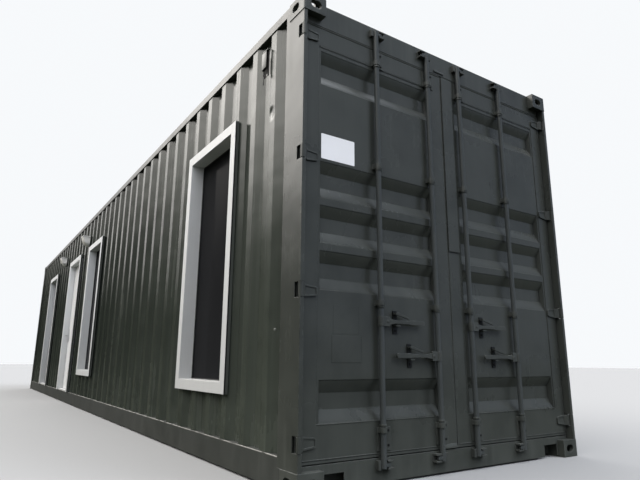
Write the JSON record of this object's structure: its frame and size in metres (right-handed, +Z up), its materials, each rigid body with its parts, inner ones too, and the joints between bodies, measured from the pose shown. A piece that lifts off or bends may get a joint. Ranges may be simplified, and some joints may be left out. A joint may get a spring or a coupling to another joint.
{
  "type": "shipping container cabin",
  "caption": "Forty-foot high-cube shipping container made into a cabin: dark grey corrugated steel, white-framed tall windows and a white door in one long side, double cargo doors at one end.",
  "frame": {"origin": "bottom centre of the container, on the plane of the bottom corner castings' undersides", "axes": "+X along the length towards the cargo doors, -Y the long side with the windows and the cabin door, +Z up"},
  "size_m": [12.192, 2.538, 2.896],
  "materials": {
    "container_paint": "satin",
    "white_trim": "satin",
    "white_door": "satin",
    "dark_glass": "gloss",
    "plywood": "matte",
    "lamp_housing": "matte",
    "bright_steel": "satin",
    "door_rubber": "matte"
  },
  "bodies": {
    "shell": {"corner_castings": "container_paint", "door_end_posts": "container_paint", "blind_end_posts": "container_paint", "bottom_rails": "container_paint", "top_rails": "container_paint", "door_header": "container_paint", "door_sill": "container_paint", "cross_members": "container_paint", "floor_deck": "plywood", "roof_panel": "container_paint", "back_wall": "container_paint", "blind_end_wall": "container_paint", "side_wall_bays": "container_paint", "side_wall_infills": "container_paint", "window_surrounds": "white_trim", "doorway_surround": "white_trim", "thresholds": "white_trim", "window_panes": "dark_glass", "wall_lamps": "lamp_housing", "side_ventilator": "container_paint", "cam_keepers": "container_paint", "cabin_hinge_frame_halves": "bright_steel"},
    "cargo_door_left": {"cargo_door_left_frame": "container_paint", "cargo_door_left_panel": "container_paint", "cargo_door_left_gasket": "door_rubber", "cargo_door_left_hinge_blades": "container_paint", "cargo_door_left_rod_fittings": "container_paint"},
    "cargo_door_right": {"cargo_door_right_frame": "container_paint", "cargo_door_right_panel": "container_paint", "cargo_door_right_gasket": "door_rubber", "cargo_door_right_hinge_blades": "container_paint", "cargo_door_right_rod_fittings": "container_paint", "centre_cover_strip": "door_rubber"},
    "cabin_door": {"cabin_door_leaf": "white_door", "cabin_door_handle": "bright_steel", "cabin_hinge_leaf_halves": "bright_steel"},
    "lock_rod_1": {"lock_rod_1": "container_paint", "lock_handle_1": "container_paint"},
    "lock_rod_2": {"lock_rod_2": "container_paint", "lock_handle_2": "container_paint"},
    "lock_rod_3": {"lock_rod_3": "container_paint", "lock_handle_3": "container_paint"},
    "lock_rod_4": {"lock_rod_4": "container_paint", "lock_handle_4": "container_paint"}
  },
  "joints": [
    {"name": "cargo_door_left_hinge", "type": "hinge", "parent": "shell", "child": "cargo_door_left", "pos_m": [6.082, -1.205, 1.45], "axis": [0, 0, -1], "range_deg": [0, 260]},
    {"name": "cargo_door_right_hinge", "type": "hinge", "parent": "shell", "child": "cargo_door_right", "pos_m": [6.082, 1.205, 1.45], "axis": [0, 0, 1], "range_deg": [0, 260]},
    {"name": "cabin_door_hinge", "type": "hinge", "parent": "shell", "child": "cabin_door", "pos_m": [-0.93, -1.1, 1.25], "axis": [0, 0, -1], "range_deg": [0, 90]},
    {"name": "lock_rod_1_turn", "type": "hinge", "parent": "cargo_door_left", "child": "lock_rod_1", "pos_m": [6.068, -0.632, 1.468], "axis": [0, 0, 1], "range_deg": [-110, 0]},
    {"name": "lock_rod_2_turn", "type": "hinge", "parent": "cargo_door_left", "child": "lock_rod_2", "pos_m": [6.068, -0.161, 1.468], "axis": [0, 0, -1], "range_deg": [-110, 0]},
    {"name": "lock_rod_3_turn", "type": "hinge", "parent": "cargo_door_right", "child": "lock_rod_3", "pos_m": [6.068, 0.161, 1.468], "axis": [0, 0, 1], "range_deg": [-110, 0]},
    {"name": "lock_rod_4_turn", "type": "hinge", "parent": "cargo_door_right", "child": "lock_rod_4", "pos_m": [6.068, 0.632, 1.468], "axis": [0, 0, -1], "range_deg": [-110, 0]}
  ]
}
